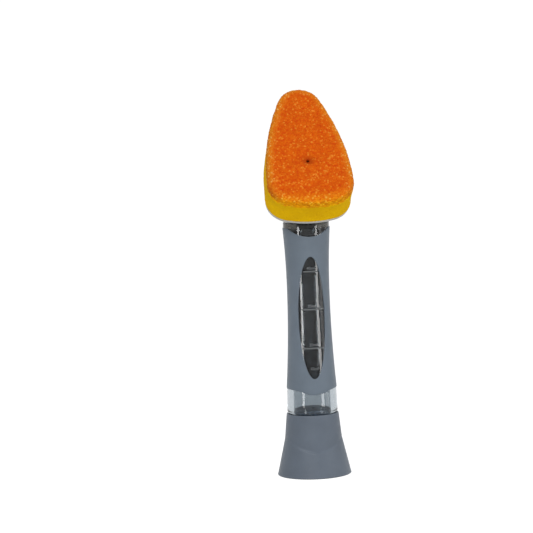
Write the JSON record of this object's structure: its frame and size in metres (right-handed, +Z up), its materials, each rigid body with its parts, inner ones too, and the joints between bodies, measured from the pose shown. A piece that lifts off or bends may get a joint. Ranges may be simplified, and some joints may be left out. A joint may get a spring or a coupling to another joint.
{
  "type": "dish wand",
  "caption": "Dish wand: a scrubbing sponge that slides onto a sloping cradle, over a waisted handle that holds washing-up liquid behind a window and stands on a screw-off foot cap.",
  "frame": {"origin": "centre of the foot's rim, on the surface that the wand stands on", "axes": "+Z up along the handle, -Y forward, the way the sponge faces, +X to the right of someone who looks at the sponge"},
  "size_m": [0.0582, 0.079, 0.2597],
  "materials": {
    "scrub_foam": "coarse open-cell foam",
    "sponge_foam": "fine foam",
    "pale_plastic": "satin",
    "clear_plastic": "clear, polished",
    "grey_plastic": "satin",
    "seal_rubber": "matte"
  },
  "bodies": {
    "handle": {"reservoir": "clear_plastic", "grip_sleeve": "grey_plastic", "neck": "clear_plastic", "neck_seal": "seal_rubber", "outlet_valve": "seal_rubber", "valve_retainer": "pale_plastic"},
    "refill": {"backing_plate": "pale_plastic", "sponge_pad": "sponge_foam", "scrub_pad": "scrub_foam"},
    "seal": {"cap_seal": "seal_rubber"},
    "cap": {"end_cap": "grey_plastic"}
  },
  "joints": [
    {"name": "thread_turn", "type": "hinge", "parent": "cap", "child": "seal", "pos_m": [0, 0, 0.0297], "axis": [0, 0, 1], "range_deg": [0, 720]},
    {"name": "thread_lift", "type": "slide", "parent": "seal", "child": "handle", "axis": [0, 0, 1], "range_m": [0, 0.0162]},
    {"name": "refill_slide", "type": "slide", "parent": "handle", "child": "refill", "axis": [0, 0.6428, 0.766], "range_m": [0, 0.05]}
  ],
  "couplings": [
    {"joint": "thread_lift", "follows": "thread_turn", "m_per_rad": 0.0012732}
  ]
}
